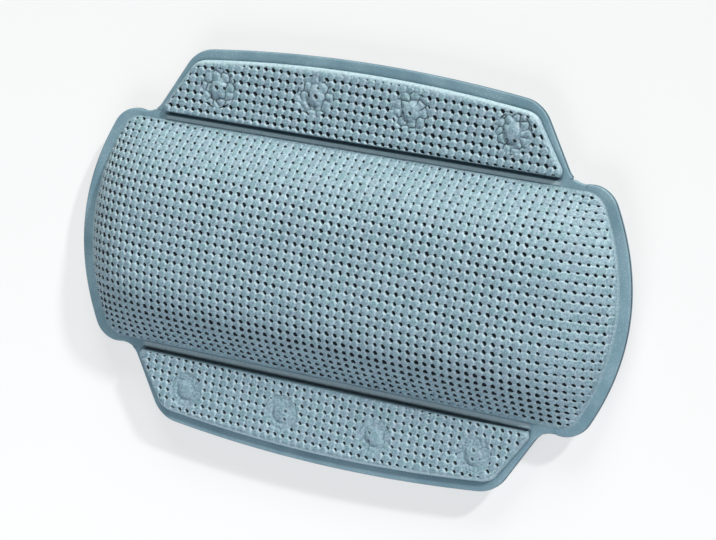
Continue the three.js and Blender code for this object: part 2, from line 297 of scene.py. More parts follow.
def linear(*byte):
    def channel(value):
        value = value / 255
        return value / 12.92 if value <= 0.04045 else ((value + 0.055) / 1.055) ** 2.4
    return (*[channel(value) for value in byte], 1)


# a recipe returns what goes into the shader's sockets
def newFinish(name, recipe, look):
    material = bpy.data.materials.new(name)
    material.use_nodes = True
    place = Wire(material.node_tree).node("ShaderNodeTexCoord", out="Object")
    place.feed(material.node_tree.nodes["Principled BSDF"], recipe(place, look))
    return material


foamedVinylLook = {
    "cell": linear(99, 127, 141),
    "cellPale": linear(163, 189, 200),
    "cellGreen": linear(122, 158, 162),
    "cellGrey": linear(142, 157, 171),
    # painted highlight: the pale colour put on the edges of cells, hole lips, blobs and walls
    "edge": linear(214, 235, 241),
    # painted shade: the dark colour put in the holes, cracks, grooves and creases and on the outer edge, standing
    # in for the shade there
    "hole": linear(5, 20, 29),
    "border": linear(108, 139, 153),
    "borderPale": linear(140, 168, 180),
    "speck": linear(186, 208, 214),
    # painted light: the pale colour put on the fold strips, which lie in shadow
    "strip": linear(194, 213, 219),
    "grain": {"scale": 850, "detail": 3.0, "roughness": 0.6},
    "tint": {"scale": 170, "detail": 1.0},
    "cloud": {"scale": 55},
    "speckSize": 750,
    "speckEdge": (0.1, 0.3),
    "speckClouds": (0.4, 0.6),
    "speckShare": 0.5,
    "mottle": (0.35, 0.65),
    "toneShare": 0.25,
    "greenTint": (0.5, 0.7),
    "greyTint": (0.3, 0.5),
    "tintShare": 0.4,
    "paintedLightGrain": (0.1, 0.5),
    "borderClouds": (0.3, 0.7),
    "borderGrain": (0.4, 0.8),
    "cloudShare": 0.6,
    "holeEdge": (0.15, 0.7),
    "grainBump": 0.5,
    "grainDepth": 0.09 * mm,
    "roughness": 0.46,
    "grainRough": 0.2,
    "holeRough": 0.3,
    "gloss": 0.4,
}


def foamedVinyl(place, look):
    def painted(name):
        return place.node("ShaderNodeAttribute", {"attribute_name": name}, out="Fac")

    hole, plain, tone, rim = (painted(name) for name in ("hole", "plain", "tone", "rim"))
    grain, tint, cloud = (place.noise(**look[name]) for name in ("grain", "tint", "cloud"))
    specks = place.node("ShaderNodeTexVoronoi", {}, {"Vector": place, "Scale": look["speckSize"]})
    speck = (1 - specks.ramp(*look["speckEdge"])) * cloud.ramp(*look["speckClouds"])
    mottle = grain.ramp(*look["mottle"]) * (1 - look["toneShare"]) + tone * look["toneShare"]
    cell = mottle.mix(look["cell"], look["cellPale"])
    cell = (tint.ramp(*look["greenTint"]) * look["tintShare"]).mix(cell, look["cellGreen"])
    cell = ((1 - tint.ramp(*look["greyTint"])) * look["tintShare"]).mix(cell, look["cellGrey"])
    # painted highlight on the edges of cells, hole lips, blobs and walls, and painted light on the fold strips,
    # carried by the rim attribute and broken up by the grain
    paintedLight = rim * grain.ramp(*look["paintedLightGrain"])
    cell = paintedLight.mix(cell, look["edge"])
    clouded = cloud.ramp(*look["borderClouds"]) * look["cloudShare"]
    clouded = clouded + grain.ramp(*look["borderGrain"]) * (1 - look["cloudShare"])
    border = clouded.mix(look["border"], look["borderPale"])
    border = (speck * look["speckShare"]).mix(border, look["speck"])
    border = paintedLight.mix(border, look["strip"])
    skin = plain.mix(cell, border)
    return {
        # painted shade: the hole attribute mixes in the dark hole colour
        "Base Color": hole.ramp(*look["holeEdge"]).mix(skin, look["hole"]),
        "Roughness": look["roughness"] + (grain - 0.5) * look["grainRough"] + hole * look["holeRough"],
        "Normal": grain.bump(look["grainBump"], look["grainDepth"]),
        "Specular IOR Level": look["gloss"],
    }


filmLook = {
    "low": linear(112, 144, 160),
    "high": linear(132, 162, 176),
    "cloud": {"scale": 38, "detail": 4.0},
    "cloudEdge": (0.25, 0.75),
    "cloudRough": 0,
    "ripple": {"scale": 120, "detail": 5.0, "roughness": 0.62},
    "rippleBump": 0.4,
    "rippleDepth": 0.25 * mm,
    "rippleRough": 0.18,
    "roughness": 0.34,
    "others": {"Specular IOR Level": 0.45},
}
cupLook = {
    "low": linear(150, 182, 196),
    "high": linear(178, 206, 216),
    "cloud": {"scale": 90, "detail": 3.0},
    "cloudEdge": (0.3, 0.7),
    "cloudRough": 0.1,
    "ripple": {"scale": 420},
    "rippleBump": 0.15,
    "rippleDepth": 0.05 * mm,
    "rippleRough": 0,
    "roughness": 0.16,
    "others": {"Transmission Weight": 0.45, "IOR": 1.48},
}


def smoothVinyl(place, look):
    cloud, ripple = place.noise(**look["cloud"]), place.noise(**look["ripple"])
    return {
        "Base Color": cloud.ramp(*look["cloudEdge"]).mix(look["low"], look["high"]),
        "Roughness": look["roughness"] + cloud * look["cloudRough"] + ripple * look["rippleRough"],
        "Normal": ripple.bump(look["rippleBump"], look["rippleDepth"]),
        **look["others"],
    }


foamLook = {
    "face": linear(236, 231, 217),
    "pore": linear(196, 186, 165),
    "poreSize": 700,
    "poreEdge": (0.15, 0.5),
    "cloud": {"scale": 25},
    "poreShare": 0.8,
    "cloudShare": 0.2,
    "poreBump": 0.7,
    "poreDepth": 0.4 * mm,
    "roughness": 0.85,
    "cloudRough": 0.1,
}


def softFoam(place, look):
    pores = place.node("ShaderNodeTexVoronoi", {}, {"Vector": place, "Scale": look["poreSize"]})
    cloud = place.noise(**look["cloud"])
    opened = (1 - pores.ramp(*look["poreEdge"])) * look["poreShare"] + cloud * look["cloudShare"]
    return {
        "Base Color": opened.mix(look["face"], look["pore"]),
        "Roughness": look["roughness"] + cloud * look["cloudRough"],
        "Normal": pores.bump(look["poreBump"], look["poreDepth"]),
    }


vinylFinish = newFinish("foamed_vinyl", foamedVinyl, foamedVinylLook)
filmFinish = newFinish("plain_film", smoothVinyl, filmLook)
cupFinish = newFinish("cup_vinyl", smoothVinyl, cupLook)
foamFinish = newFinish("soft_foam", softFoam, foamLook)
print("finishes made")


def meshObject(name, places, faces, finish, attributes=None, sharp=80):
    mesh = bpy.data.meshes.new(name)
    mesh.from_pydata(np.asarray(places).tolist(), [], faces)
    for key, values in (attributes or {}).items():
        values = np.asarray(values, np.float32)
        kind, field = ("FLOAT_VECTOR", "vector") if values.ndim == 2 else ("FLOAT", "value")
        mesh.attributes.new(key, kind, "POINT").data.foreach_set(field, values.ravel())
    mesh.update()
    mesh.shade_smooth()
    mesh.set_sharp_from_angle(angle=math.radians(sharp))
    mesh.materials.append(finish)
    piece = bpy.data.objects.new(name, mesh)
    bpy.context.scene.collection.objects.link(piece)
    return piece


# Relief of the woven sheet, as Geometry Nodes
# weave holds a point's place in the weave, counted in cells from a hole, and how fully it is embossed there
# spot holds its place from the nearest weld spot
reliefInputs = {
    "Hole core": 0.12,
    "Hole reach": 0.28,
    "Hole depth": 1.3 * mm,
    # how much painted shade the holes get
    "Hole dark": 1,
    "Lip core": 0.19,
    "Lip reach": 0.38,
    "Lip depth": 0.36 * mm,
    "Cell bulge": 0.36 * mm,
    "Wander": 0.15,
    "Spot radius": 10.2 * mm,
    "Spot depth": 0.4 * mm,
    "Mound radius": 5 * mm,
    "Mound rise": 2.1 * mm,
    "Blob rise": 0.6 * mm,
    "Spot side": -1,
    # how much painted shade the cracks get; it also sets the painted highlight on the blobs' edges and the painted
    # shade in the holes left in a weld spot
    "Crack dark": 0.9,
    "Holes left": 0.5,
}
# shapes of the cells and holes, in cells, where the painted shade in each hole ends, and how much painted
# highlight pales their edges and lips
cellShape = {
    "wanderScales": (1.1, 1.37),
    "broad": ((0, 0.16), (0, 0.2)),
    "narrow": ((0.06, 0.28), (0, 0.14)),
    "sizes": (0.9, 1.1),
    "lipStretch": (1.08, 0.95),
    "shadeEdge": (0.03, 0.04),
    "slopePale": 0.3,
    "lipPale": 0.5,
}
# how the holes follow the slope that they lie on: where each slope begins and is full, and what it does; the
# painted shade in the holes grows on the slopes that face away from the light and shrinks on the lit upper slope
slopes = {
    "upper": (0.2, 0.7),
    "lower": (0.15, 0.6),
    "left": (0.15, 0.5),
    "right": (0.08, 0.35),
    "closing": 0.3,
    "gaping": 0.12,
    "flattening": 0.28,
    "breadth": {"level": 0.6, "lower": 0.4, "left": 0.2},
}
# how a weld spot is pressed: its edges as lengths inside and outside a radius, or as two lengths from it; moatDark
# and holeDark set the painted shade in its moat and its remaining holes
pressing = {
    "wander": 2 * mm,
    "wanderScale": 0.9,
    "edge": (1.2 * mm, 0.1 * mm),
    "mound": (2.8 * mm, 1.2 * mm),
    "blobScale": 1.02,
    "blobChance": 0.75,
    "blobEdge": (0, 0.38),
    "crackEdge": (0.02, 0.13),
    "crackGaps": (-0.2, 0.02),
    "crackEnd": 0.9,
    "ring": (0.2 * mm, 0.7 * mm),
    "ringGaps": (-0.05, 0.12),
    "ringDepth": 0.3 * mm,
    "moatOut": 0.6 * mm,
    "moat": (0.2 * mm, 1.6 * mm),
    "moatSide": (0, 1.2),
    "moatDepth": 0.8 * mm,
    "moatDark": 0.5,
    "holeEdge": (0.5 * mm, 0),
    "holeDark": (0.4, 0.6),
    "holeFill": 0.3,
    "plainSeed": 7,
}


def weaveReliefTree(sizes):
    tree = bpy.data.node_groups.new("weaveRelief", "GeometryNodeTree")
    tree.is_modifier = True

    def socket(name, kind, way="INPUT"):
        return tree.interface.new_socket(name, in_out=way, socket_type=f"NodeSocket{kind}")

    socket("Geometry", "Geometry")
    for name, value in sizes.items():
        socket(name, "Float").default_value = value
    socket("Seed", "Int").default_value = pressing["plainSeed"]
    socket("Finish", "Material")
    socket("Geometry", "Geometry", "OUTPUT")
    start = Wire(tree)
    given = start.node("NodeGroupInput", out=None)

    def stored(name, kind="FLOAT_VECTOR"):
        return start.node("GeometryNodeInputNamedAttribute", {"data_type": kind}, {"Name": name})

    # one draw for each hole or cell, by its number
    def chance(of, low, high):
        sockets = {"Min": low, "Max": high, "ID": of, "Seed": given["Seed"]}
        return start.node("FunctionNodeRandomValue", {"data_type": "FLOAT"}, sockets)

    def parted(vector):
        return start.node("ShaderNodeSeparateXYZ", {}, {0: vector}, out=None).values()

    weave = stored("weave")
    u, v, fade = parted(weave)
    driftU, driftV = ((weave.noise(scale) - 0.5) * given["Wander"] for scale in cellShape["wanderScales"])
    u, v = u + driftU, v + driftV
    holeU, holeV = u.math("ROUND"), v.math("ROUND")
    offU, offV = u - holeU, v - holeV
    fromU, fromV = offU.math("ABSOLUTE"), offV.math("ABSOLUTE")
    cellU, cellV = u.math("FLOOR"), v.math("FLOOR")

    # broad and narrow cells by turns
    broad, narrow = (
        fromU.ramp(*edgeU) * fromV.ramp(*edgeV) for edgeU, edgeV in (cellShape["broad"], cellShape["narrow"])
    )
    turn = (cellU + cellV).math("FLOORED_MODULO", 2)
    strand = broad + (narrow - broad) * turn

    # a hole in each corner between four cells, drawn out along one diagonal, with a rounded lip; painted shade
    # darkens its inside and a painted highlight pales its lip
    # they close up a little on the upper slope, flatten at the right end, and gape on the lower slope and the
    # left, so the painted shade is smaller on the lit upper slope and larger where the slope faces away from the
    # light
    normal = start.node("GeometryNodeInputNormal")
    facingX, facingY, _ = parted(normal)
    upper, lower = facingY.ramp(*slopes["upper"]), (facingY * -1).ramp(*slopes["lower"])
    left, right = (facingX * -1).ramp(*slopes["left"]), facingX.ramp(*slopes["right"])
    reach, breadths = given["Hole reach"], slopes["breadth"]
    size = chance(holeU * 211 + holeV, *cellShape["sizes"])
    size = size * (1 - upper * slopes["closing"] + left * slopes["gaping"])
    flatV = offV / (1 - right * slopes["flattening"])
    lengthways, sideways = (offU - flatV) * 0.5**0.5 / size, (offU + flatV) * 0.5**0.5 / size
    stretch, (inner, outer) = cellShape["lipStretch"], cellShape["shadeEdge"]
    far = ((lengthways / stretch[0]) ** 2 + (sideways / stretch[1]) ** 2) ** 0.5
    breadth = breadths["level"] + lower * breadths["lower"] + left * breadths["left"]
    deep = (lengthways**2 + (sideways / breadth) ** 2) ** 0.5
    hole = 1 - deep.ramp(given["Hole core"], reach)
    # painted shade inside the hole
    shade = (1 - deep.ramp(reach - inner, reach + outer)) * given["Hole dark"]
    lip = 1 - far.ramp(given["Lip core"], given["Lip reach"])
    # painted highlight along the lip
    lipPale = lip * (1 - lip) * 4

    # a weld spot squashes the weave to blobs between cracks, over a low mound with a deeper moat on one side;
    # painted shade darkens the cracks, the ring and the moat, which lies on the side away from the light where the
    # mound's shadow falls
    spotX, spotY, _ = parted(stored("spot"))
    wander = weave.noise(pressing["wanderScale"]) - 0.5
    away = (spotX * spotX + spotY * spotY) ** 0.5 + wander * pressing["wander"]
    radius, mound, crackDark = given["Spot radius"], given["Mound radius"], given["Crack dark"]

    def within(limit, edge):
        return 1 - away.ramp(limit - edge[0], limit + edge[1])

    def nearTo(limit, edge):
        return 1 - (away - limit).math("ABSOLUTE").ramp(*edge)

    crushed, boss = within(radius, pressing["edge"]), within(mound, pressing["mound"])
    settings = {"voronoi_dimensions": "2D", "feature": "DISTANCE_TO_EDGE"}
    sockets = {"Vector": weave, "Scale": pressing["blobScale"], "Randomness": pressing["blobChance"]}
    blobs = start.node("ShaderNodeTexVoronoi", settings, sockets)
    blob = blobs.ramp(*pressing["blobEdge"]) * crushed * (1 - boss)
    crack = (1 - blobs.ramp(*pressing["crackEdge"])) * crushed * (1 - boss * pressing["crackEnd"])
    crack = crack * wander.ramp(*pressing["crackGaps"])
    ring = nearTo(radius, pressing["ring"]) * wander.ramp(*pressing["ringGaps"])
    oneSide = ((spotX + spotY) * given["Spot side"] / mound).ramp(*pressing["moatSide"])
    moat = nearTo(mound + pressing["moatOut"], pressing["moat"]) * oneSide
    crack = crack.math("MAXIMUM", ring).math("MAXIMUM", moat * pressing["moatDark"])
    kept = chance(holeU * 97 + holeV * 13, 0, 1).math("LESS_THAN", given["Holes left"])
    least, more = pressing["holeDark"]
    kept = kept * (least + crackDark * more) * within(mound, pressing["holeEdge"])
    bored = 1 - crushed * (1 - kept)

    raised = strand * given["Cell bulge"] * (1 - crushed)
    raised = raised + boss * given["Mound rise"] + blob * given["Blob rise"]
    sunk = (hole * given["Hole depth"] + lip * given["Lip depth"]) * bored * (1 - crushed * pressing["holeFill"])
    sunk = sunk + ring * pressing["ringDepth"] + moat * pressing["moatDepth"] + crushed * given["Spot depth"]
    height = (raised - sunk) * fade
    offset = start.node("ShaderNodeVectorMath", {"operation": "SCALE"}, {"Vector": normal, "Scale": height})

    def store(geometry, name, value):
        settings = {"data_type": "FLOAT", "domain": "POINT"}
        sockets = {"Geometry": geometry, "Name": name, "Value": value}
        return start.node("GeometryNodeStoreNamedAttribute", settings, sockets)

    # painted highlight on the strands' slopes, the hole lips and the blobs' edges, and painted shade in the holes,
    # cracks, ring and moat
    slope = (1 - (strand * 2 - 1).math("ABSOLUTE")) * (1 - crushed)
    pale = (slope * cellShape["slopePale"]).math("MAXIMUM", lipPale * cellShape["lipPale"] * bored)
    pale = pale.math("MAXIMUM", blob * (1 - blob) * crackDark) * fade
    dark = (shade * bored).math("MAXIMUM", crack * crackDark) * fade
    shown = store(given["Geometry"], "hole", dark.math("MAXIMUM", stored("dark", "FLOAT")))
    shown = store(shown, "rim", pale.math("MAXIMUM", stored("pale", "FLOAT")))
    shown = store(shown, "tone", chance(cellU * 61 + cellV, 0, 1))
    moved = start.node("GeometryNodeSetPosition", {}, {"Geometry": shown, "Offset": offset})
    real = start.node("GeometryNodeRealizeInstances", {}, {"Geometry": moved})
    finished = start.node("GeometryNodeSetMaterial", {}, {"Geometry": real, "Material": given["Finish"]})
    start.node("NodeGroupOutput", {}, {"Geometry": finished}, out=None)
    return tree


weaveRelief = weaveReliefTree(reliefInputs)


def emboss(piece, changes):
    modifier = piece.modifiers.new("weave", "NODES")
    modifier.node_group = weaveRelief
    values = {**reliefInputs, "Finish": vinylFinish, **changes}
    for item in weaveRelief.interface.items_tree:
        if item.in_out == "INPUT" and item.name in values:
            modifier[item.identifier] = values[item.name]
    evaluated = piece.evaluated_get(bpy.context.evaluated_depsgraph_get())
    mesh = bpy.data.meshes.new_from_object(evaluated)
    piece.modifiers.remove(modifier)
    old, piece.data = piece.data, mesh
    bpy.data.meshes.remove(old)
    piece.data.name = piece.name


def gridQuads(shape):
    index = np.arange(shape[0] * shape[1]).reshape(shape)
    return np.stack([index[:-1, :-1], index[1:, :-1], index[1:, 1:], index[:-1, 1:]], axis=-1).reshape(-1, 4)


# A fine grid in step with the weave: its places, and each place's count of cells
def weaveGrid(weave, halfSpan, lowAcross, highAcross):
    rowTurn, columnTurn = (math.radians(turn) for turn in weave["turns"])
    pitchU, pitchV = weave["pitch"]
    spareColumns, spareRows = 5, 3
    slack = spareRows + halfSpan * abs(math.sin(rowTurn)) / pitchV
    columns = np.arange(math.floor(-halfSpan / pitchU) - spareColumns, math.ceil(halfSpan / pitchU) + spareColumns)
    rows = np.arange(math.floor(lowAcross / pitchV - slack), math.ceil(highAcross / pitchV + slack))
    steps = np.array(weave["steps"])
    u, v = np.meshgrid(np.add.outer(columns, steps).ravel(), np.add.outer(rows, steps).ravel(), indexing="ij")
    along = weave["origin"][0] + u * pitchU * math.cos(rowTurn) - v * pitchV * math.sin(columnTurn)
    across = weave["origin"][1] + u * pitchU * math.sin(rowTurn) + v * pitchV * math.cos(columnTurn)
    return along.ravel(), across.ravel(), np.stack([u.ravel(), v.ravel()], axis=1), gridQuads(u.shape)


def plainGrid(low, high, step):
    x, y = (np.arange(low[i] - step, high[i] + 2 * step, step) for i in (0, 1))
    placeX, placeY = np.meshgrid(x, y, indexing="ij")
    return np.stack([placeX.ravel(), placeY.ravel()], axis=1), gridQuads(placeX.shape)


# keeps the faces inside a ring, and clear of round holes, and draws their outer corners onto its edge
def trimToRing(plan, quads, ring, margin, holes=(), holeRadius=0):
    distance, nearest = outlineDistance(plan, ring)
    for centre in holes:
        outwards = plan - centre
        gap = np.hypot(*outwards.T)
        closer = gap - holeRadius < distance
        distance[closer] = (gap - holeRadius)[closer]
        nearest[closer] = centre + outwards[closer] / np.maximum(gap[closer, None], 1e-9) * holeRadius
    inside = distance > margin
    quads = quads[inside[quads].any(axis=1)]
    used = np.unique(quads)
    renumber = np.full(len(plan), -1)
    renumber[used] = np.arange(len(used))
    plan = np.where(inside[used, None], plan[used], nearest[used])
    distance = np.where(inside[used], distance[used], 0)
    return used, plan, renumber[quads], distance


def boundaryEdges(quads):
    edges = np.concatenate([quads[:, [k, (k + 1) % 4]] for k in range(4)])
    size = quads.max() + 1
    forward, backward = edges[:, 0] * size + edges[:, 1], edges[:, 1] * size + edges[:, 0]
    return edges[~np.isin(forward, backward)]


# points of a plan at one level, or each at its own
def atLevel(plan, level):
    return np.column_stack([plan, np.broadcast_to(level, len(plan))])


# a closed solid between two heights over the same plan
def closedSheet(plan, quads, upper, lower):
    count = len(plan)
    places = np.vstack([atLevel(plan, upper), atLevel(plan, lower)])
    walls = [(b, a, a + count, b + count) for a, b in boundaryEdges(quads).tolist()]
    return places, quads.tolist() + (quads[:, ::-1] + count).tolist() + walls


def boundaryLoop(quads):
    follow = dict(boundaryEdges(quads).tolist())
    loop = [next(iter(follow))]
    while follow[loop[-1]] != loop[0]:
        loop.append(follow[loop[-1]])
    return np.array(loop)


def loopNormals(points):
    along = np.roll(points, -1, axis=0) - np.roll(points, 1, axis=0)
    for _ in range(3):
        along = (np.roll(along, -1, axis=0) + 2 * along + np.roll(along, 1, axis=0)) / 4
    normals = np.stack([along[:, 1], -along[:, 0]], axis=1)
    return normals / np.linalg.norm(normals, axis=1, keepdims=True)


# bands of faces from a loop through rings of as many points, going outwards
def bandFaces(first, rings, start):
    faces = []
    count = len(first)
    before = list(first)
    for k in range(rings):
        after = list(range(start + k * count, start + (k + 1) * count))
        for i in range(count):
            j = (i + 1) % count
            faces.append((before[j], before[i], after[i], after[j]))
        before = after
    return faces, before


# paint for a woven field and the rings round it, one value or row of values for each ring
def edgePaint(fieldPoints, ringPoints, **values):
    spread = {name: [np.broadcast_to(ring, ringPoints) for ring in rings] for name, rings in values.items()}
    return {name: np.concatenate([np.zeros(fieldPoints), *rings]) for name, rings in spread.items()}


def fitted(paint, total):
    return {name: np.append(values, np.zeros(total - len(values))) for name, values in paint.items()}


# each point's place in the weave and its share of relief, with none past the woven field
def weaveField(cells, distance, fade, total):
    field = np.zeros((total, 3))
    field[: len(cells)] = np.column_stack([cells, smoothStep(distance, 0, fade)])
    return field


def unitCircle(count):
    turns = np.linspace(0, 2 * math.pi, count, endpoint=False)
    return np.stack([np.cos(turns), np.sin(turns)], axis=1)


# lengths along a line from its first point
def runLength(x, y):
    return np.concatenate([[0], np.cumsum(np.hypot(np.diff(x), np.diff(y)))])


def seat(piece, body, node):
    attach(piece, body)
    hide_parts(node)


# Pressed border: its rounded outer edge, and the groove beside each flap's field; rimShade, wallShade and
# creaseShade are painted shade on the outer edge and in the creases
border = {
    "rimRadius": 0.9 * mm,
    "rimShade": 0.55,
    "wallShade": 0.8,
    "creaseShade": 0.38,
    "rimReach": 0.1 * mm,
    "grooveLevel": 11.2 * mm,
    "grooveEnd": (116.5 * mm, 119.5 * mm),
}


def rimDrop(points):
    radius = border["rimRadius"]
    inside = np.clip(outlineDistance(points, outline)[0], 0, radius)
    return radius - np.sqrt(radius**2 - (radius - inside) ** 2)


def onRim(points):
    return outlineDistance(points, outline)[0] < border["rimReach"]


# painted shade on the outer edge
def outerShades(points):
    return [border[shade] * onRim(points) for shade in ("rimShade", "wallShade")]


def pastGroove(points):
    return smoothStep(np.abs(points[:, 0]), *border["grooveEnd"])


domeWeave = {
    "pitch": (4.797 * mm, 4.942 * mm),
    "turns": (-1.45, -0.78),
    "origin": (11.04 * mm, 5.98 * mm),
    "steps": (0, 0.08, 0.16, 0.24, 0.31, 0.5, 0.69, 0.76, 0.84, 0.92),
    "margin": 0.25 * mm,
    "fade": 0.6 * mm,
}
crown = {
    "endBorder": 6.8 * mm,
    "cornerBorder": 4.4 * mm,
    "sideBorder": 0.7 * mm,
    "radius": 12 * mm,
    "sideOrder": 3.8,
    "sideSoftness": 1.3,
    "endOrder": 7,
    "endSoftness": 0.8,
    "weaveInset": 0.5 * mm,
    "footGroove": 0.3 * mm,
    "foldStep": 0.4 * mm,
    "foldSlack": 0.5 * mm,
    "foldFacing": 0.9,
    "footPale": 0.3,
    "spare": (1.06, 1.12),
    "liningShares": (0.97, 0.92, 0.85, 0.72, 0.5, 0.25),
}
crownBow = outlineSizes["endBow"] - crown["endBorder"] + crown["cornerBorder"]
crownLength = halfLength - crown["endBorder"]
crownWidth = foldInner - crown["sideBorder"]


# the crown's plan, drawn in all round
def cushionPlan(inset):
    x, y = crownLength - inset - crownBow, crownWidth - inset
    return roundedOutline(bothHalves([((x, -y), crown["radius"], crownBow), ((x, y), crown["radius"], 0)]))


def crownShare(x, y, length, width):
    across = np.minimum(1, np.abs(y) / width)
    along = np.minimum(1, np.abs(x) / (length - crownBow * across**2))
    arch = (1 - across ** crown["sideOrder"]) ** crown["sideSoftness"]
    return arch * (1 - along ** crown["endOrder"]) ** crown["endSoftness"]


def crownLevel(plan):
    return borderTop + crownHeight * crownShare(*plan.T, crownLength, crownWidth)


# where a place on the sheet, as lengths along and across it, lies in plan once it is drawn over the crown
def drawnOverCrown(along, across, samples=400, sections=90):
    y = np.linspace(-crownWidth, crownWidth, 2 * samples + 1)
    z = crownHeight * crownShare(0 * y, y, crownLength, crownWidth)
    arc = runLength(y, z)
    arc -= arc[samples]
    planY = np.interp(across, arc, y)
    planY += np.sign(across) * np.maximum(0, np.abs(across) - arc[-1])
    planX = np.zeros_like(along)
    rows = np.clip((planY / crownWidth + 1) / 2, 0, 1) * sections
    low = np.minimum(rows.astype(int), sections - 1)
    slide = np.sin(np.linspace(-math.pi / 2, math.pi / 2, 2 * samples + 1))

    def unrolled(k):
        level = (2 * k / sections - 1) * crownWidth
        x = (crownLength - crownBow * (level / crownWidth) ** 2) * slide
        height = crownHeight * crownShare(x, np.full_like(x, level), crownLength, crownWidth)
        length = runLength(x, height)
        return length - length[samples], x

    tables = [unrolled(k) for k in range(sections + 1)]
    for k in range(sections):
        here = low == k
        placed = []
        for length, x in (tables[k], tables[k + 1]):
            past = np.sign(along[here]) * np.maximum(0, np.abs(along[here]) - length[-1])
            placed.append(np.interp(along[here], length, x) + past)
        share = (rows - low)[here]
        planX[here] = placed[0] * (1 - share) + placed[1] * share
    return np.stack([planX, planY], axis=1)


def makeFrontCover():
    ring = cushionPlan(crown["weaveInset"])
    spareLength, spareWidth = crown["spare"][0] * halfLength, crown["spare"][1] * foldInner
    along, across, cells, quads = weaveGrid(domeWeave, spareLength, -spareWidth, spareWidth)
    plan = drawnOverCrown(along, across)
    used, plan, quads, distance = trimToRing(plan, quads, ring, domeWeave["margin"])
    loop = boundaryLoop(quads)
    places = [atLevel(plan, crownLevel(plan))]
    edge = plan[loop]
    outward = loopNormals(edge)
    foot = edge + outward * crown["weaveInset"]
    reach = reachTo(foot, outward, cushionOutline, crown["sideBorder"])
    onFold = (np.abs(foot[:, 0]) < webEnd - crown["foldSlack"]) & (np.abs(outward[:, 1]) > crown["foldFacing"])

    # smooth border: a groove at the crown's foot, then flat to the rounded outer edge; painted shade in the groove
    # and on the outer edge, and a paler margin painted along the weave's edge
    groove = crown["footGroove"]
    roll = [(0, -groove), (0.12, -0.8 * groove), (0.35, 0), (0.6, 0), (0.8, 0), (0.9, 0), (0.96, 0), (1, 0)]
    for share, rise in roll:
        at = foot + outward * (reach * share)[:, None]
        level = borderTop + rise - rimDrop(at)
        level = np.where(onFold, borderTop - crown["foldStep"] * (1 - pastGroove(at)), level)
        places.append(atLevel(at, level))
    rim = foot + outward * reach[:, None]
    places.append(atLevel(rim, sheetLevel))
    # painted shade in the groove at the foot and on the outer edge, and a paler margin painted along the weave's
    # edge
    shades = [border["creaseShade"], *[0] * (len(roll) - 2), *outerShades(rim)]
    paint = edgePaint(len(plan), len(loop), pale=[crown["footPale"]], plain=[0] + [1] * len(roll), dark=shades)

    # lining, back under the border and up over the core
    length, width = crownLength - foamSheet, crownWidth - foamSheet
    liningHeight = coverHigh.z - foamSheet - sheetLevel
    lining = edge * np.array([length / crownLength, width / crownWidth])
    places.append(atLevel(lining, sheetLevel))
    for share in crown["liningShares"]:
        inner = lining * share
        places.append(atLevel(inner, sheetLevel + liningHeight * crownShare(*inner.T, length, width)))
    faces, last = bandFaces(loop, len(places) - 1, len(plan))
    faces = quads.tolist() + faces + [tuple(reversed(last))]
    places = np.vstack(places)
    weave = weaveField(cells[used], distance, domeWeave["fade"], len(places))
    attributes = {"weave": weave, "spot": np.ones(places.shape), **fitted(paint, len(places))}
    piece = meshObject("front_cover_woven", places, faces, vinylFinish, attributes)
    emboss(piece, {})
    print("front cover:", len(piece.data.vertices), "points,", len(loop), "round its weave")
    return piece


frontCover = makeFrontCover()
seat(frontCover, "pillow", "front_cover")

# Fold webs: a smooth strip beside the cushion and a groove beside the flap's field, with painted shade in the
# groove and painted light on the strip, which lies in shadow
web = {
    "bottom": 10.6 * mm,
    "ramp": ((0, 12.6), (0.2, 12.72), (0.5, 12.72), (0.62, 12.55), (0.7, 12.0), (0.76, 11.4), (0.84, 11.2),
             (1, 11.2)),
    "columns": 260,
    "rows": 15,
    "neckFrom": 110 * mm,
    "neckPast": 6 * mm,
    "sharp": 60,
    "grooveDark": 0.46,
    "grooveFrom": {"upper": (0.38, 0.54), "lower": (0.76, 0.85)},
    "stripPale": {"upper": 1, "lower": 0.95},
}

# Flap fronts, made as the upper one and turned half round for the lower
flap = {
    "border": 6.2 * mm,
    "sideBorder": 4.9 * mm,
    "setback": 0.4 * mm,
    "innerRadius": 2.2 * mm,
    "innerReach": 2.2 * mm,
    "foldInset": 0.25 * mm,
    "sideInset": 1 * mm,
    "outerInset": 1.7 * mm,
    "wallFoot": 0.65 * mm,
    "foldFoot": 0.2 * mm,
    "pocketRadius": 5.6 * mm,
    "pocketTop": 15 * mm,
    "pocketPoints": 32,
    "margin": 0.12 * mm,
    "fade": 0.3 * mm,
    "grooveSpan": (0.9 * mm, 1.8 * mm),
    "footSink": 0.2 * mm,
    "leastReach": 0.05 * mm,
    "wallTurns": (18, 36, 54, 70, 82, 90),
    "wallOrder": 0.8,
    "wallStart": 0.25,
    "wallPale": (0.15, 0.3),
    "wallDark": (0, 0.2, 0.5, 0.8),
    "foldFacing": (0.75, 0.95),
    "edgeFacing": (0.55, 0.9),
    "borderShares": (0.1, 0.3, 0.6, 0.8, 0.9, 0.96, 1),
}
flapSteps = (0, 0.08, 0.16, 0.24, 0.32, 0.41, 0.5, 0.59, 0.68, 0.76, 0.84, 0.92)
flapWeaves = {
    "upper": {"pitch": (4.685 * mm, 4.78 * mm), "turns": (-1.0, -1.0), "origin": (1.754 * mm, 2.566 * mm)},
    "lower": {"pitch": (4.705 * mm, 4.695 * mm), "turns": (-1.6, -1.6), "origin": (-3.003 * mm, -4.194 * mm)},
}
